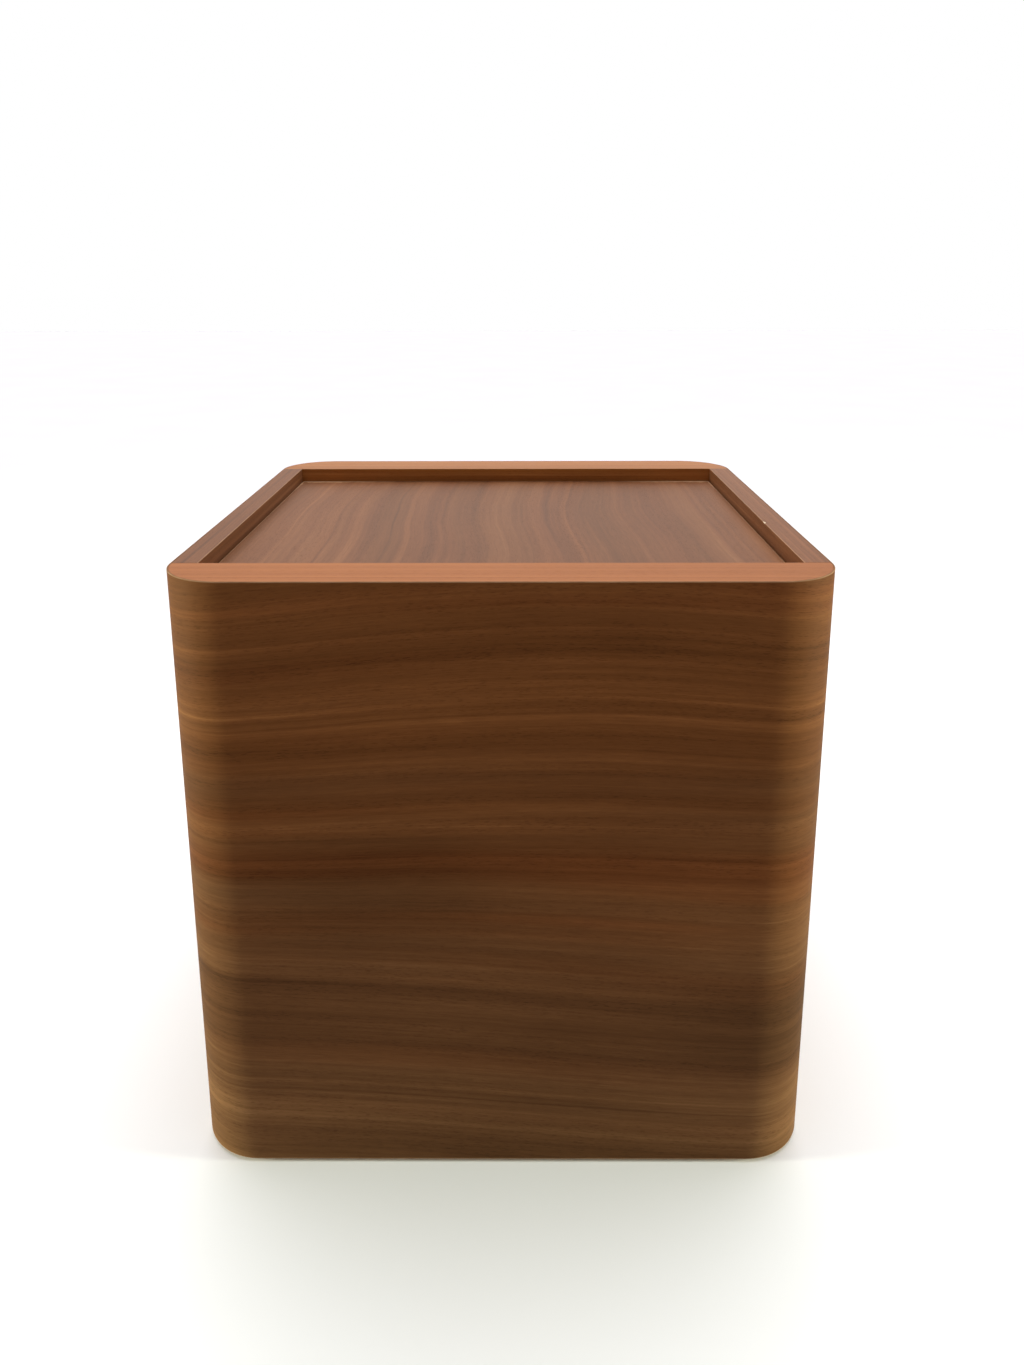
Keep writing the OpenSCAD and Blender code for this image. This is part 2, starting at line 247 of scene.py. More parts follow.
def figure(g, along, across, depth, rings, streaks, seed, wave, contrast, k_depth=1.0,
           sway=None, lines=1.0):
    """Wood figure: tone from 0 (dark) to 1 (light), relief for the bump, and a hue from 0 to 1.

    rings and streaks are how many growth rings and streaks there are in a metre, wave is how
    far in metres the grain wanders, sway moves it by a given distance, and lines is how strong
    the rings' own lines are."""
    drift = g.stretched(along, across, depth, 2.1, 2.6, 2.0, seed + 3.1, 1.5)
    ripple = g.stretched(along, across, depth, 9.0, 7.0, 6.0, seed + 9.7, 1.0)
    w = g.sum(across, (g.centred(drift), wave * 4), (g.centred(ripple), wave * 0.4))
    if sway is not None:
        w = g.math("ADD", w, sway)

    def layer(k_along, k_across, offset, detail=2.0, rough=0.5, axis=w):
        return g.stretched(along, axis, depth, k_along, k_across, k_across * k_depth,
                           seed + offset, detail, rough)

    # From coarse to fine: bands of several rings, of one ring, streaks, thin streaks, fibres.
    broad = layer(0.35, rings * 0.28, 0.0, 1.5, 0.45)
    bands = layer(0.30, rings * 1.1, 13.0, 1.5, 0.5)
    medium = layer(1.1, streaks, 17.0, 3.0, 0.55)
    fine = layer(4.0, streaks * 5, 31.0, 2.5, 0.6)
    fibre = layer(60.0, 1500.0, 47.0)
    patch = layer(6.0, 8.0, 53.0, 3.0, axis=across)
    hue = layer(1.2, rings * 0.6, 101.0, 2.0)
    # The rings are unevenly wide, and their lines come and go along the grain.
    unevenness = layer(0.22, rings * 0.33, 71.0, 1.0)
    phase = g.sum((w, rings), (g.centred(unevenness), 4.5), (g.centred(fine), 0.10))
    ring_number = g.math("ADD", g.math("FLOOR", phase), seed)
    chance = g.add("ShaderNodeTexWhiteNoise", {"W": ring_number}, noise_dimensions="1D")
    here = g.step(layer(2.2, rings * 0.5, 90.0, 1.0), 0.36, 0.60)
    line = g.product(here, growth_rings(g, g.math("FRACT", phase), chance.outputs["Value"]))
    # Pores: short dark dashes along the grain, crowded where the wood is dark.
    cells = g.add("ShaderNodeTexVoronoi", {
        "Vector": g.vector(g.product(along, 150.0), g.product(w, 1150.0),
                           g.product(depth, 1150.0 * k_depth)),
        "Scale": 1.0, "Randomness": 1.0}).outputs["Distance"]
    crowd = g.step(medium, 0.58, 0.42)
    pores = g.product(g.step(cells, 0.36, 0.18), g.math("MULTIPLY_ADD", crowd, 0.7, 0.3))
    tone = g.sum(0.5, (g.centred(broad), 0.50 * contrast), (g.centred(bands), 0.42 * contrast),
                 (g.centred(medium), 0.40 * contrast), (g.centred(fine), 0.42 * contrast),
                 (g.centred(fibre), 0.26), (g.centred(patch), 0.26 * contrast),
                 (g.product(line, lines), contrast), (pores, -0.15))
    relief = g.sum((fibre, 0.35), (fine, 0.25), (pores, -0.9))
    return tone, relief, hue


def lacquered(g, colour, relief, tone, rough, gloss):
    g.surface(colour, g.sum(rough, (tone, 0.10), (relief, -0.06)))
    g.shader.inputs["Specular IOR Level"].default_value = gloss
    g.shader.inputs["Specular Tint"].default_value = LACQUER_TINT
    g.bump(relief, 0.08 * MM, 0.6)


def edge_wear_and_highlight(g, colour, edge, along, seed, even=0.34):
    """Lightens the wood along an edge: an even pale line, and rare bright nicks of wear. Along
    the wall's top arris the even line is a painted highlight.
    """
    place = g.vector(g.math("MULTIPLY_ADD", along, 55.0, seed), 0.0, 0.0)
    spots = g.noise(place, 1.0, 3.0)
    pale_line = g.product(edge, g.sum(even, (g.centred(spots), 0.5)))
    nicks = g.product(edge, g.step(spots, 0.70, 0.73, 0.85))
    return g.mix(g.math("MAXIMUM", pale_line, nicks), colour, PALE_WEAR_AND_HIGHLIGHT)


def specks(g, colour, u, v):
    """A few pale specks about 1 mm wide, far apart."""
    cells = g.add("ShaderNodeTexVoronoi", {"Vector": g.vector(u, v, 0.0), "Scale": 3.1})
    spot = g.step(cells.outputs["Distance"], 0.0032, 0.0018, 0.7)
    return g.mix(spot, colour, PALE_WEAR_AND_HIGHLIGHT)


# ---------------------------------------------------------------- wall veneer

# Factors of red, green and blue that the walnut's colour is multiplied by.
HIGH_TINT = (1.07, 1.01, 0.97)
# The next tint greys the bottom of the walls: painted light bounced up from the floor.
GREY_BOUNCE_TINT = (0.97, 1.09, 1.34)
RED_TINT = (1.04, 0.95, 0.94)
# The next tint makes the bottom of the walls paler, a painted bounce of light from the floor,
# and the top a little paler.
PALE_BOUNCE_AND_TOP_TINT = (1.46, 1.58, 1.70)
# The next tint paints the side lights' glow on the four bends of the veneer.
PAINTED_GLOW_TINT = (1.10, 1.15, 1.15)

# Broad dark patches: how far right of the front's middle, the height, and the darkness; the one
# low at the right is painted shade.
DARK_TONE_AND_PAINTED_SHADE = [(-0.09, 0.23, 0.26), (0.225, 0.11, 0.30)]


def wall_sway(g, from_front, v):
    """How far the wall's grain is bent from level, in metres.

    On each wall the lines bow upwards in the upper half, more so towards the top, and fall
    away to the right in the lower half."""
    turn = 4 * math.pi / WALL_LENGTH
    swing = g.math("COSINE", g.product(g.math("SUBTRACT", from_front, 0.06), turn))
    bow = g.product(swing, g.sum(-0.006, (g.step(v, 0.24, TOP), -0.008)))
    fall = g.product(g.math("SINE", g.product(from_front, turn)), 0.013)
    upper = g.step(v, 0.13, 0.29)
    return g.math("MULTIPLY_ADD", upper, g.math("SUBTRACT", bow, fall), fall)


def wall_colour(g, tone, hue, from_front, v):
    """Redder towards the top; greyer and paler towards the bottom, a painted bounce of light
    from the floor; with paler and darker places, one of them painted shade, and a painted glow
    on the bends.
    """
    colour = g.ramp(tone, WALNUT)
    # Greyer towards the bottom: painted light bounced up from the floor.
    shade = g.step(g.sum(v, (g.centred(hue), 0.4)), 0.12, 0.34)
    colour = g.mix(shade, g.tinted(colour, GREY_BOUNCE_TINT), g.tinted(colour, HIGH_TINT))
    red = g.product(g.step(hue, 0.50, 0.66), g.sum(0.25, (shade, 0.65)))
    colour = g.mix(red, colour, g.tinted(colour, RED_TINT))
    # Paler along the bottom, a painted bounce of light from the floor, and a little paler along
    # the top.
    ends = g.math("MAXIMUM", g.step(v, 0.12, 0.03), g.step(v, 0.36, 0.42, 0.12))
    colour = g.mix(ends, colour, g.tinted(colour, PALE_BOUNCE_AND_TOP_TINT))
    # Broad darker places on the front; the one low at the right is painted shade.
    for centre_u, centre_v, darkness in DARK_TONE_AND_PAINTED_SHADE:
        off_u = g.math("SUBTRACT", from_front, centre_u)
        off_v = g.math("SUBTRACT", v, centre_v)
        far = g.math("SQRT", g.sum((g.product(off_u, off_u), 40.0),
                                   (g.product(off_v, off_v), 170.0)))
        colour = g.mix(g.step(far, 1.0, 0.15, darkness), colour, BLACK)
    # Paler too where it is bent round a corner: a painted glow of the side lights on the four
    # bends.
    into_quarter = g.math("FLOORED_MODULO", from_front, WALL_QUARTER)
    off_bend = g.distance(into_quarter, WALL_QUARTER / 2)
    bent = g.step(off_bend, HALF_BEND + 6.0 * MM, HALF_BEND - 14.0 * MM)
    return g.mix(bent, colour, g.tinted(colour, PAINTED_GLOW_TINT))


def wall_material():
    """Dark walnut veneer that runs round the walls; u is along the grain, v is the height."""
    g = Graph("wall_walnut_veneer")
    u, v, _ = uv_point(g, "grain")
    from_front = g.math("SUBTRACT", WALL_LENGTH / 2, u)
    tone, relief, hue = figure(g, u, v, 0.0, rings=52.0, streaks=60.0, seed=12.0, wave=0.005,
                               contrast=0.85, sway=wall_sway(g, from_front, v),
                               lines=g.sum(0.40, g.step(v, 0.10, 0.26, 0.60)))
    colour = wall_colour(g, tone, hue, from_front, v)
    z = object_point(g)[2]
    # Pale lines along the top arris, which is a painted highlight, and along the bottom edge.
    edge = g.math("MAXIMUM", g.step(z, TOP - 0.7 * MM, TOP - 0.35 * MM),
                  g.step(z, WALL_BOTTOM + 1.2 * MM, WALL_BOTTOM + 0.4 * MM))
    colour = edge_wear_and_highlight(g, specks(g, colour, u, v), edge, u, 2.0)
    lacquered(g, colour, relief, tone, rough=0.58, gloss=0.025)
    return g.material


# ---------------------------------------------------------------- rim and lid

def strip_material(name, turned, palette, seed, wear_at, gloss, tint=None, chip=None):
    """Solid strip of the rim.

    turned puts the grain along Y, wear_at is how far the strip's inner edge lies from the
    middle of the unit, tint multiplies the palette to paint the extra light and sheen that one
    strip shows over another, and chip is where along the strip a chip shows pale bare wood."""
    g = Graph(name)
    x, y, z = object_point(g)
    along, across = (y, x) if turned else (x, y)
    tone, relief, _ = figure(g, along, across, z, rings=260.0, streaks=420.0, seed=seed,
                             wave=0.0012, contrast=0.85)
    colour = g.ramp(tone, palette)
    if tint:
        colour = g.tinted(colour, tint)
    near_top = g.step(z, TOP - 0.7 * MM, TOP - 0.2 * MM)
    off_edge = g.distance(g.math("ABSOLUTE", across), wear_at)
    edge = g.product(near_top, g.step(off_edge, 0.9 * MM, 0.3 * MM))
    colour = edge_wear_and_highlight(g, colour, edge, along, seed)
    if chip is not None:
        ragged = g.product(g.noise(g.vector(along, across, z), 900.0, 1.0), 1.6 * MM)
        reach = g.sum(off_edge, ragged, (g.distance(along, chip), 0.35))
        bare = g.product(near_top, g.step(reach, 2.6 * MM, 1.9 * MM))
        colour = g.mix(bare, colour, BARE_WOOD)
    lacquered(g, colour, relief, tone, rough=0.44, gloss=gloss)
    return g.material


def lid_material():
    """Paler walnut with its grain from front to back, on the lid's faces and its edges."""
    g = Graph("lid_walnut_veneer")
    x, y, z = object_point(g)
    tone, relief, hue = figure(g, y, x, z, rings=44.0, streaks=50.0, seed=23.0, wave=0.021,
                               k_depth=0.0, contrast=0.84)
    colour = g.ramp(tone, LID_WALNUT)
    colour = g.mix(g.step(hue, 0.44, 0.60), colour, g.tinted(colour, (0.94, 0.97, 0.97)))
    near_top = g.step(z, LID_HIGH.z - 0.8 * MM, LID_HIGH.z - 0.3 * MM)
    off_x, off_y = g.math("ABSOLUTE", x), g.math("ABSOLUTE", y)
    edge_x = g.step(off_x, LID_HIGH.x - 1.0 * MM, LID_HIGH.x - 0.3 * MM)
    edge_y = g.step(off_y, LID_HIGH.y - 1.0 * MM, LID_HIGH.y - 0.3 * MM)
    colour = edge_wear_and_highlight(g, colour, g.product(near_top, edge_x), y, 5.0)
    colour = edge_wear_and_highlight(g, colour, g.product(near_top, edge_y), x, 8.0)
    # The edges are paler still towards the two back corners, in a ragged band.
    corner = g.product(g.step(off_x, 0.10, 0.19), g.step(y, 0.12, 0.18))
    ragged = g.centred(g.noise(g.vector(x, y, 0.0), 160.0, 3.0))
    band_x = g.step(g.sum(off_x, (ragged, 5.0 * MM)),
                    LID_HIGH.x - 2.5 * MM, LID_HIGH.x - 1.0 * MM)
    band_y = g.step(g.sum(y, (ragged, 12.0 * MM)), LID_HIGH.y - 8.0 * MM, LID_HIGH.y - 5.0 * MM)
    pale_line = g.product(g.product(corner, near_top), g.math("MAXIMUM", band_x, band_y))
    colour = edge_wear_and_highlight(g, colour, pale_line, g.math("ADD", x, y), 14.0, 0.75)
    lacquered(g, colour, relief, tone, rough=0.46, gloss=0.12)
    return g.material


# ---------------------------------------------------------------- boards, cleats and fittings

def ply_material(name, along, up, depth, pale, dark, layer_mm=1.6):
    """Layered board: even layers have the grain along one axis, odd layers along the other."""
    g = Graph(name)
    point = object_point(g)
    a, b = point[along], point[up]
    layers = g.product(point[depth], 1 / (layer_mm * MM))
    layer = g.math("FLOOR", layers)
    odd = g.math("ABSOLUTE", g.math("MODULO", layer, 2.0))
    shift = g.product(layer, 0.731)
    one = g.stretched(a, g.math("ADD", b, shift), 0.0, 2.0, 60.0, detail=3.0)
    two = g.stretched(b, g.math("ADD", a, shift), 0.0, 2.0, 60.0, seed=7.0, detail=3.0)
    fine_one = g.stretched(a, b, 0.0, 30.0, 900.0)
    fine_two = g.stretched(b, a, 0.0, 30.0, 900.0, seed=5.0)
    broad = g.math("MULTIPLY_ADD", odd, g.math("SUBTRACT", two, one), one)
    fine = g.math("MULTIPLY_ADD", odd, g.math("SUBTRACT", fine_two, fine_one), fine_one)
    tone = g.sum(broad, (g.centred(fine), 0.35), (odd, -0.12))
    middle = tuple((i + j) / 2 for i, j in zip(pale, dark))
    colour = g.ramp(tone, [(0.25, dark), (0.50, middle), (0.70, pale)])
    # A thin dark glue line between layers.
    line = g.math("SUBTRACT", 1.0, g.step(g.math("FRACT", layers), 0.04, 0.10))
    colour = g.mix(g.product(line, 0.45), colour, tuple(c * 0.45 for c in dark))
    g.surface(colour, g.sum(0.58, (fine, 0.16)))
    g.bump(g.sum((fine, 0.5), (broad, 0.2)), 0.10 * MM, 0.6)
    return g.material


def pine_material(name, turned):
    """Sawn pine with dark late wood in each ring; turned puts the grain along Y."""
    g = Graph(name)
    x, y, z = object_point(g)
    along, across = (y, x) if turned else (x, y)
    ring = g.stretched(along, across, z, 3.0, 40.0, 40.0, 2.0, 2.0)
    late = g.math("FRACT", g.sum((across, 230.0), (z, 160.0), (ring, 3.5)))
    dark = g.product(g.step(late, 0.55, 0.93), g.step(late, 1.0, 0.95))
    fibre = g.stretched(along, across, z, 40.0, 1400.0, 1400.0, 3.0, 2.0)
    tone = g.sum((dark, 0.6), (g.centred(fibre), 0.3), (ring, 0.25))
    colour = g.ramp(tone, [(0.05, srgb(226, 192, 142)), (0.35, srgb(212, 170, 116)),
                           (0.80, srgb(178, 124, 72))])
    g.surface(colour, g.sum(0.55, (fibre, 0.15)))
    g.bump(g.sum((fibre, 0.5), (dark, 0.4)), 0.08 * MM, 0.6)
    return g.material


def beech_material():
    g = Graph("dowel_beech")
    flecks = g.noise(g.vector(*object_point(g)), 300.0, 3.0)
    colour = g.ramp(flecks, [(0.35, srgb(196, 152, 108)), (0.60, srgb(222, 184, 140))])
    g.surface(colour, g.sum(0.5, (flecks, 0.15)))
    g.bump(flecks, 0.08 * MM, 0.5)
    return g.material


def steel_material():
    g = Graph("screw_zinc")
    point = g.vector(*object_point(g))
    cloud = g.noise(point, 220.0, 3.0)
    grit = g.noise(point, 2600.0, 2.0)
    colour = g.ramp(cloud, [(0.30, srgb(150, 152, 156)), (0.55, srgb(186, 187, 188)),
                            (0.75, srgb(202, 198, 186))])
    g.surface(colour, g.sum(0.26, (cloud, 0.20), (grit, 0.06)))
    g.shader.inputs["Metallic"].default_value = 1.0
    g.bump(g.sum((grit, 0.5), (cloud, 0.3)), 0.05 * MM, 0.5)
    return g.material


def nylon_material():
    """Dark nylon, scuffed pale on the face that slides on the floor."""
    g = Graph("glide_nylon")
    x, y, z = object_point(g)
    grain = g.noise(g.vector(x, y, z), 1500.0, 2.0)
    scuff = g.noise(g.vector(g.product(x, 90.0), g.product(y, 700.0), z), 1.0, 4.0, 0.6)
    worn_face = g.product(g.step(scuff, 0.55, 0.70), g.step(z, 0.4 * MM, 0.0))
    colour = g.ramp(grain, [(0.3, srgb(30, 28, 26)), (0.7, srgb(46, 43, 40))])
    colour = g.mix(worn_face, colour, srgb(96, 92, 86))
    g.surface(colour, g.sum(0.46, (grain, 0.14), (worn_face, 0.12)))
    g.bump(g.sum((grain, 0.4), (scuff, 0.4)), 0.06 * MM, 0.6)
    return g.material


def felt_material():
    g = Graph("bumper_felt")
    point = g.vector(*object_point(g))
    hair = g.noise(point, 1900.0, 4.0, 0.7)
    clump = g.noise(point, 420.0, 3.0)
    colour = g.ramp(g.sum((hair, 0.6), (clump, 0.4)),
                    [(0.35, srgb(58, 54, 50)), (0.5, srgb(84, 79, 73)),
                     (0.65, srgb(120, 113, 104))])
    g.surface(colour, g.sum(0.86, (hair, 0.1)))
    g.shader.inputs["Sheen Weight"].default_value = 0.4
    g.bump(g.sum((hair, 0.7), (clump, 0.5)), 0.4 * MM, 0.8)
    return g.material


# ---------------------------------------------------------------- meshes

SHARP_ANGLE = math.radians(30.0)


def make_object(name, mesh_maker, material):
    bm = bmesh.new()
    mesh_maker(bm)
    bmesh.ops.recalc_face_normals(bm, faces=bm.faces)
    mesh = bpy.data.meshes.new(name)
    bm.to_mesh(mesh)
    bm.free()
    mesh.materials.append(material)
    for polygon in mesh.polygons:
        polygon.use_smooth = True
    obj = bpy.data.objects.new(name, mesh)
    bpy.context.collection.objects.link(obj)
    return obj


def eased(obj):
    """Rounds the object's sharp edges a little, and shades its flats flat."""
    bevel = obj.modifiers.new("eased_edges", "BEVEL")
    bevel.width = EASED_R
    bevel.segments = 3
    bevel.limit_method = "ANGLE"
    bevel.angle_limit = math.radians(40.0)
    bevel.harden_normals = True
    bevel.use_clamp_overlap = True


def wall_path():
    """Points on the wall's outer line: (x, y, outward x, outward y, length from the seam).

    It runs from the seam at the middle of the back, clockwise seen from above: back right
    half, right, front, left, back left half."""
    half, half_seam = SIDE / 2, 0.15 * MM
    line = []

    def add_flat(start, end, normal, count):
        for i in range(count):
            t = i / count
            line.append((start[0] + (end[0] - start[0]) * t,
                         start[1] + (end[1] - start[1]) * t, *normal))

    def add_corner(x, y, first):
        for i in range(CORNER_STEPS):
            a = math.radians(first - 90.0 * i / CORNER_STEPS)
            line.append((x + CORNER_R * math.cos(a), y + CORNER_R * math.sin(a),
                         math.cos(a), math.sin(a)))

    add_flat((half_seam, half), (POST_C, half), (0.0, 1.0), 10)
    add_corner(POST_C, POST_C, 90.0)
    add_flat((half, POST_C), (half, -POST_C), (1.0, 0.0), 20)
    add_corner(POST_C, -POST_C, 0.0)
    add_flat((POST_C, -half), (-POST_C, -half), (0.0, -1.0), 20)
    add_corner(-POST_C, -POST_C, -90.0)
    add_flat((-half, -POST_C), (-half, POST_C), (-1.0, 0.0), 20)
    add_corner(-POST_C, POST_C, -180.0)
    add_flat((-POST_C, half), (-half_seam, half), (0.0, 1.0), 10)
    line.append((-half_seam, half, 0.0, 1.0))
    points, run = [], 0.0
    for i, point in enumerate(line):
        if i:
            run += math.dist(point[:2], line[i - 1][:2])
        points.append((*point, run))
    return points


def wall_section():
    """The veneer's closed section as (distance in from the outer face, height)."""
    r, steps, levels = EASED_R, 4, 24
    section = [(VENEER_T, WALL_BOTTOM), (r, WALL_BOTTOM)]
    for i in range(1, steps):
        a = math.radians(90.0 * i / steps)
        section.append((r - r * math.sin(a), WALL_BOTTOM + r - r * math.cos(a)))
    for i in range(levels + 1):
        section.append((0.0, WALL_BOTTOM + r + (TOP - WALL_BOTTOM - 2 * r) * i / levels))
    for i in range(1, steps):
        a = math.radians(90.0 * i / steps)
        section.append((r - r * math.cos(a), TOP - r + r * math.sin(a)))
    section += [(r, TOP), (VENEER_T, TOP)]
    return section


def wall_mesh(bm):
    """The section swept along the path, with the grain's UVs in metres."""
    uv = bm.loops.layers.uv.new("grain")
    path, section = wall_path(), wall_section()
    rings = [[bm.verts.new((x - nx * d, y - ny * d, z)) for d, z in section]
             for x, y, nx, ny, _ in path]
    count = len(section)
    for i in range(len(path) - 1):
        for j in range(count):
            k = (j + 1) % count
            face = bm.faces.new((rings[i][j], rings[i + 1][j], rings[i + 1][k], rings[i][k]))
            lengths = (path[i][4], path[i + 1][4], path[i + 1][4], path[i][4])
            spots = (section[j], section[j], section[k], section[k])
            for loop, length, (d, z) in zip(face.loops, lengths, spots):
                over_top = d if z > TOP - 0.5 * MM else 0.0
                loop[uv].uv = (length, z + over_top)
    for ring in (rings[0], rings[-1]):
        face = bm.faces.new(ring)
        for loop, (d, z) in zip(face.loops, section):
            loop[uv].uv = (d, z)
    bmesh.ops.recalc_face_normals(bm, faces=bm.faces)
    for edge in bm.edges:
        edge.smooth = edge.calc_face_angle(0.0) < SHARP_ANGLE


def prism(outline, low, high):
    """A maker for an upright prism over an outline of (x, y) points."""
    def maker(bm):
        bottom = [bm.verts.new((x, y, low)) for x, y in outline]
        top = [bm.verts.new((x, y, high)) for x, y in outline]
        bm.faces.new(bottom)
        bm.faces.new(top)
        for i in range(len(outline)):
            k = (i + 1) % len(outline)
            bm.faces.new((bottom[i], bottom[k], top[k], top[i]))
    return maker


def wide_strip_outline(sign):
    """The rim strip with rounded ends; sign is -1 for the front and 1 for the back."""
    r = CORNER_R - VENEER_T
    points = []
    for side, first in ((-1, 180.0), (1, 270.0)):
        for i in range(CORNER_STEPS + 1):
            a = math.radians(first + 90.0 * i / CORNER_STEPS)
            points.append((side * POST_C + r * math.cos(a), -POST_C + r * math.sin(a)))
    return [(x, -sign * y) for x, y in points]


def narrow_strip_outline(sign):
    """The rim strip between the wide ones; sign is -1 for the left and 1 for the right."""
    inner, outer = sign * INNER_HALF, sign * CORE_HALF
    return [(inner, -POST_C), (outer, -POST_C), (outer, POST_C), (inner, POST_C)]


# ---------------------------------------------------------------- pieces

X, Y, Z = 0, 1, 2
BIRCH, BIRCH_DARK = srgb(224, 192, 148), srgb(186, 144, 98)
POST_PALE, POST_DARK = srgb(214, 178, 130), srgb(176, 132, 86)
CHIP_PLACE = -0.060                         # along the right strip, from the unit's middle

wall = make_object("wall_veneer", wall_mesh, wall_material())
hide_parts("outer_veneer")
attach(wall, "cabinet")

front_wood = strip_material("rim_walnut_front", False, RIM_WALNUT_AND_SHEEN, 11.0, RIM_INNER, 0.08)
# The back strip is tinted paler and greyer than the front: a painted sheen.
back_wood = strip_material("rim_walnut_back_painted_sheen", False, RIM_WALNUT_AND_SHEEN, 19.0, RIM_INNER, 0.10,
                           tint=(1.06, 1.14, 1.08))
left_wood = strip_material("rim_walnut_left", True, LID_WALNUT, 29.0, INNER_HALF, 0.10)
# The right strip is tinted paler than the left: painted light, as the right side is lit more.
right_wood = strip_material("rim_walnut_right_painted_light", True, LID_WALNUT, 37.0, INNER_HALF, 0.10,
                            tint=(1.16, 1.16, 1.16), chip=CHIP_PLACE)
for side_name, outline, side_wood in (("front", wide_strip_outline(-1), front_wood),
                                      ("back", wide_strip_outline(1), back_wood),
                                      ("left", narrow_strip_outline(-1), left_wood),
                                      ("right", narrow_strip_outline(1), right_wood)):
    strip = make_object(f"rim_strip_{side_name}", prism(outline, RIM_BOTTOM, TOP), side_wood)
    eased(strip)
    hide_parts(f"rim_{side_name}")
    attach(strip, "cabinet")

# The other CAD nodes have the right shape and get their own materials.
FINISHES = [
    (ply_material("carcass_board_x", X, Z, Y, BIRCH, BIRCH_DARK),
     ("board_front", "board_back")),
    (ply_material("carcass_board_y", Y, Z, X, BIRCH, BIRCH_DARK),
     ("board_left", "board_right")),
    (ply_material("flat_board", X, Y, Z, BIRCH, BIRCH_DARK),
     ("base_panel", "lid_core")),
    (ply_material("post_board", Z, X, Y, POST_PALE, POST_DARK, layer_mm=6.0),
     ("post_front_left", "post_front_right", "post_back_left", "post_back_right")),
    (pine_material("cleat_pine_x", False),
     ("top_rail_front", "top_rail_back", "lid_cleat_front", "lid_cleat_back",
      "base_cleat_front", "base_cleat_back")),
    (pine_material("cleat_pine_y", True),
     ("lid_cleat_left", "lid_cleat_right", "base_cleat_left", "base_cleat_right")),
    (lid_material(),
     ("lid_veneer_top", "lid_veneer_bottom", "lid_lipping_front", "lid_lipping_back",
      "lid_lipping_left", "lid_lipping_right")),
    (beech_material(),
     ("corner_dowels", "rim_dowels")),
    (steel_material(),
     ("rail_screws", "lid_cleat_screws", "base_cleat_screws", "base_panel_screws",
      "glide_screws")),
    (nylon_material(),
     ("glides",)),
    (felt_material(),
     ("lid_bumpers",)),
]
for material, names in FINISHES:
    for name in names:
        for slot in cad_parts[name].material_slots:
            slot.material = material


# ---------------------------------------------------------------- floor

FLOOR_REACH, FLOOR_CELLS = 12.0, 24


def floor_material():
    g = Graph("studio_floor")
    soft = g.noise(g.vector(*object_point(g)), 3.0, 2.0)
    colour = g.ramp(soft, [(0.3, (0.88, 0.86, 0.93)), (0.7, (0.90, 0.88, 0.95))])
    g.surface(colour, g.sum(0.7, (soft, 0.1)))
    g.shader.inputs["Specular IOR Level"].default_value = 0.0
    return g.material


def floor_mesh(bm):
    bmesh.ops.create_grid(bm, x_segments=FLOOR_CELLS, y_segments=FLOOR_CELLS, size=FLOOR_REACH)


floor = make_object("studio_floor", floor_mesh, floor_material())


# ---------------------------------------------------------------- light

# Two tall soft windows, one at each side, a little in front of the unit's front face: they
# light the rounded corners and only graze the front.
WINDOW_PLACE = Vector((1.9, -0.38, 0.29))   # of the right one; the left one mirrors it
WINDOW_TARGET = Vector((0.0, -0.20, 0.26))
WINDOW_WIDTH, WINDOW_HEIGHT = 0.25, 0.46
WINDOW_WATTS = 54.0
WINDOW_COLOUR = (0.90, 1.0, 0.74)

WORLD_FRONT = 0.13                          # warm light from all round
WORLD_BACK = 0.50                           # white light from behind the unit
WORLD_SKY = 2.9                             # white light from above and a little behind
SKY_Y, SKY_Z = 0.42, 0.906                  # the way to the sky's brightest point
WHITE, WARM = (1.0, 1.0, 1.0, 1.0), (1.0, 0.90, 0.78, 1.0)


def side_window(name, sign):
    """An area light; sign is -1 for the left and 1 for the right."""
    data = bpy.data.lights.new(name, "AREA")
    data.shape = "RECTANGLE"
    data.size, data.size_y = WINDOW_WIDTH, WINDOW_HEIGHT
    data.energy = WINDOW_WATTS
    data.color = WINDOW_COLOUR
    light = bpy.data.objects.new(name, data)
    light.location = (sign * WINDOW_PLACE.x, WINDOW_PLACE.y, WINDOW_PLACE.z)
    light.rotation_euler = (WINDOW_TARGET - light.location).to_track_quat("-Z", "Y").to_euler()
    light.visible_camera = False
    bpy.context.collection.objects.link(light)


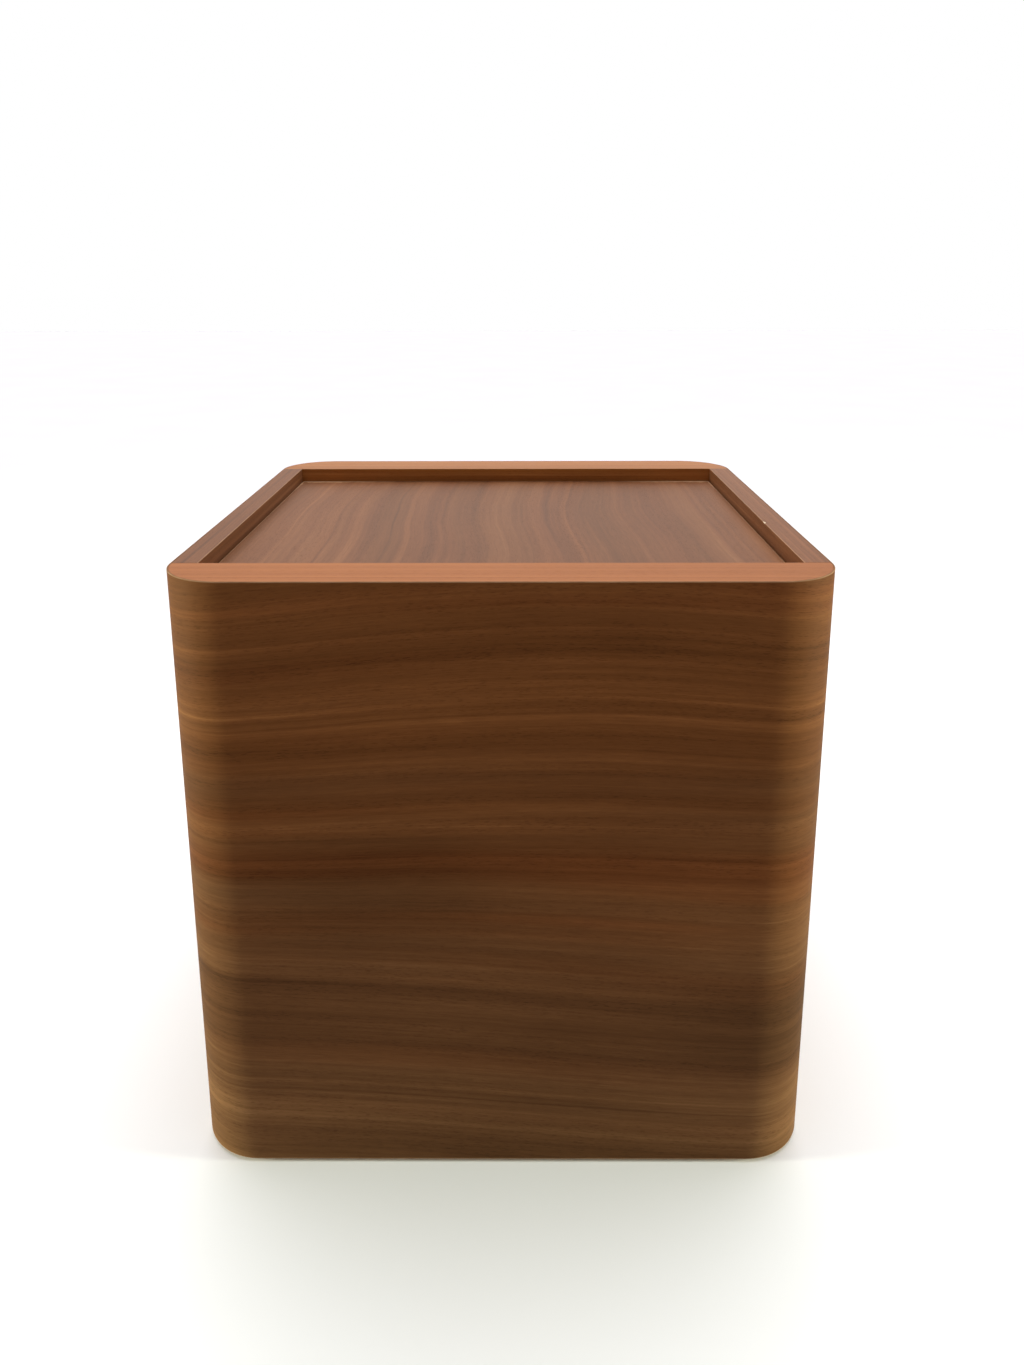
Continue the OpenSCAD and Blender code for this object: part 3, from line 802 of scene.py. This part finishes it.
def studio_world():
    """Soft light from above and behind, dimmer in front; the camera sees plain white."""
    world = bpy.data.worlds.new("studio")
    world.use_nodes = True
    bpy.context.scene.world = world
    tree = world.node_tree
    tree.nodes.clear()

    def node(kind, **inputs):
        """Inputs are given by name, or as _0, _1 and so on."""
        made = tree.nodes.new(kind)
        for key, value in inputs.items():
            socket = made.inputs[int(key[1:])] if key[0] == "_" else made.inputs[key]
            if hasattr(value, "is_linked"):
                tree.links.new(value, socket)
            else:
                socket.default_value = value
        return made

    def math_node(operation, a, b=0.0):
        made = node("ShaderNodeMath", _0=a, _1=b)
        made.operation = operation
        return made.outputs[0]

    def smooth(value, low, high, at_low, at_high):
        made = node("ShaderNodeMapRange", **{"Value": value, "From Min": low, "From Max": high,
                                             "To Min": at_low, "To Max": at_high})
        made.interpolation_type = "SMOOTHSTEP"
        return made.outputs["Result"]

    way = node("ShaderNodeSeparateXYZ",
               Vector=node("ShaderNodeTexCoord").outputs["Generated"]).outputs
    ahead = smooth(way["Y"], -0.2, 0.6, 0.0, WORLD_BACK)
    off_middle = math_node("ABSOLUTE", math_node("SUBTRACT", way["X"], 0.06))
    behind = math_node("MULTIPLY", ahead, smooth(off_middle, 0.10, 0.50, 1.0, 0.65))
    toward_sky = math_node("ADD", math_node("MULTIPLY", way["Y"], SKY_Y),
                           math_node("MULTIPLY", way["Z"], SKY_Z))
    sky = math_node("MULTIPLY", math_node("POWER", math_node("MAXIMUM", toward_sky), 4.0),
                    WORLD_SKY)
    white = node("ShaderNodeBackground", Color=WHITE, Strength=math_node("ADD", behind, sky))
    warm = node("ShaderNodeBackground", Color=WARM, Strength=WORLD_FRONT)
    lit = node("ShaderNodeAddShader", _0=white.outputs[0], _1=warm.outputs[0])
    seen = node("ShaderNodeBackground", Color=WHITE, Strength=1.0)
    either = node("ShaderNodeMixShader", _0=node("ShaderNodeLightPath").outputs["Is Camera Ray"],
                  _1=lit.outputs[0], _2=seen.outputs[0])
    node("ShaderNodeOutputWorld", Surface=either.outputs[0])


side_window("left_window", -1)
side_window("right_window", 1)
studio_world()


# ---------------------------------------------------------------- camera

FOCAL_MM = 27.586813                        # where the long side of the picture is 36 mm
SHIFT_Y = -0.11172161                       # of the long side
PITCH, YAW, ROLL = math.radians(13.6), 0.0040, -0.0018
CAMERA_PLACE = (0.0232 * SIDE, -1.92 * SIDE, TOP + 0.419 * SIDE)

camera_data = bpy.data.cameras.new("camera")
camera_data.sensor_width = 36.0
camera_data.lens = FOCAL_MM
camera_data.shift_y = SHIFT_Y
camera_data.clip_start, camera_data.clip_end = 0.05, 60.0
camera = bpy.data.objects.new("camera", camera_data)
bpy.context.collection.objects.link(camera)
camera.matrix_world = (Matrix.Translation(CAMERA_PLACE)
                       @ Matrix.Rotation(YAW, 4, "Z")
                       @ Matrix.Rotation(math.pi / 2 - PITCH, 4, "X")
                       @ Matrix.Rotation(ROLL, 4, "Z"))
bpy.context.scene.camera = camera
bpy.context.scene.view_settings.view_transform = "Standard"
bpy.context.scene.view_settings.look = "None"
